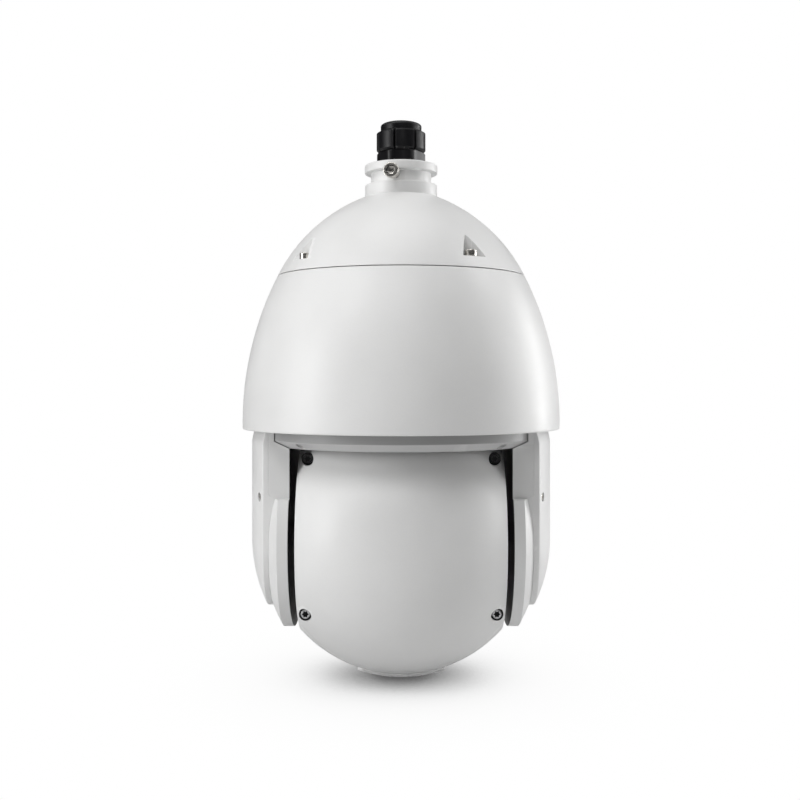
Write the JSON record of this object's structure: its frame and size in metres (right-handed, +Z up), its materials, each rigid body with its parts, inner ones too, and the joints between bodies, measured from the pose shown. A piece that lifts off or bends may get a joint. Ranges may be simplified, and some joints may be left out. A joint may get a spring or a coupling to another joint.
{
  "type": "pan tilt zoom dome camera",
  "caption": "Pendant-mounted speed dome camera: fixed white dome with cable gland, a panning yoke and a tilting camera ball with window, lens and drives inside.",
  "frame": {"origin": "on the pan axis at the foot of the gland's hexagon, 3.6 mm above the neck flange's top face", "axes": "+Z up along the pan axis, +Y the way the lens looks at rest, +X along the tilt axis"},
  "size_m": [0.186, 0.186, 0.3251],
  "materials": {
    "white_paint": "fine-grained powder coat, satin",
    "grey_paint": "light grey powder coat, satin",
    "black_plastic": "moulded black plastic, slightly glossy",
    "rubber": "matt black rubber",
    "stainless": "stainless fastener",
    "black_screw": "black oxide fastener",
    "aluminium": "machined and die-cast aluminium",
    "bearing_steel": "ground steel",
    "circuit_board": "green circuit board",
    "glass": "clear coated glass"
  },
  "bodies": {
    "base": {"top_cap": "white_paint", "neck_collar": "white_paint", "collar_lock_screw": "stainless", "gland_body": "black_plastic", "gland_seal": "rubber", "gland_nut": "black_plastic", "cap_screw_1": "stainless", "cap_screw_2": "stainless", "cap_screw_3": "stainless", "cap_screw_4": "stainless", "dome_seal": "rubber", "lower_housing": "white_paint", "base_plate": "aluminium", "pan_motor": "aluminium", "pan_bearing": "bearing_steel", "power_board": "circuit_board", "slip_ring": "black_plastic", "slip_ring_bracket": "aluminium", "pan_belt": "rubber"},
    "pan_motor_shaft": {"pan_motor_pulley": "aluminium"},
    "pan_unit": {"pan_spindle": "aluminium", "pan_pulley": "black_plastic", "pan_plate": "grey_paint", "left_arm_housing": "grey_paint", "right_arm_housing": "grey_paint", "left_arm_cover": "white_paint", "right_arm_cover": "white_paint", "left_front_cover_screw": "stainless", "left_rear_cover_screw": "stainless", "right_front_cover_screw": "stainless", "right_rear_cover_screw": "stainless", "tilt_motor": "aluminium", "tilt_belt": "rubber", "left_tilt_bearing": "bearing_steel", "right_tilt_bearing": "bearing_steel", "plate_screw_1": "stainless", "plate_screw_2": "stainless", "plate_screw_3": "stainless", "plate_screw_4": "stainless"},
    "tilt_motor_shaft": {"tilt_motor_pulley": "aluminium"},
    "camera_ball": {"ball_front_shell": "white_paint", "ball_rear_cover": "white_paint", "rear_cover_screw_1": "black_screw", "rear_cover_screw_2": "black_screw", "rear_cover_screw_3": "black_screw", "rear_cover_screw_4": "black_screw", "left_trunnion": "aluminium", "right_trunnion": "aluminium", "tilt_pulley": "black_plastic", "window_bezel": "black_plastic", "window_glass": "glass", "lens_barrel": "black_plastic", "front_lens": "glass", "camera_block": "black_plastic", "sensor_board": "circuit_board", "camera_bracket": "aluminium", "ir_led_board": "circuit_board"},
    "zoom_group": {"zoom_lens_group": "glass"},
    "focus_group": {"focus_lens_group": "glass"}
  },
  "joints": [
    {"name": "pan", "type": "hinge", "parent": "base", "child": "pan_unit", "pos_m": [0, 0, -0.11], "axis": [0, 0, 1], "continuous": true},
    {"name": "pan_motor_spin", "type": "hinge", "parent": "base", "child": "pan_motor_shaft", "pos_m": [0.048, 0, -0.124], "axis": [0, 0, 1], "continuous": true},
    {"name": "tilt", "type": "hinge", "parent": "pan_unit", "child": "camera_ball", "pos_m": [0, 0, -0.2219], "axis": [-1, 0, 0], "range_deg": [-15, 90]},
    {"name": "tilt_motor_spin", "type": "hinge", "parent": "pan_unit", "child": "tilt_motor_shaft", "pos_m": [0.0752, 0, -0.1879], "axis": [-1, 0, 0], "range_deg": [-60, 310]},
    {"name": "zoom", "type": "slide", "parent": "camera_ball", "child": "zoom_group", "axis": [0, 1, 0], "range_m": [-0.006, 0.008]},
    {"name": "focus", "type": "slide", "parent": "camera_ball", "child": "focus_group", "axis": [0, 1, 0], "range_m": [-0.004, 0.004]}
  ],
  "couplings": [
    {"joint": "pan_motor_spin", "follows": "pan", "ratio": 5},
    {"joint": "tilt_motor_spin", "follows": "tilt", "ratio": 3.3}
  ]
}
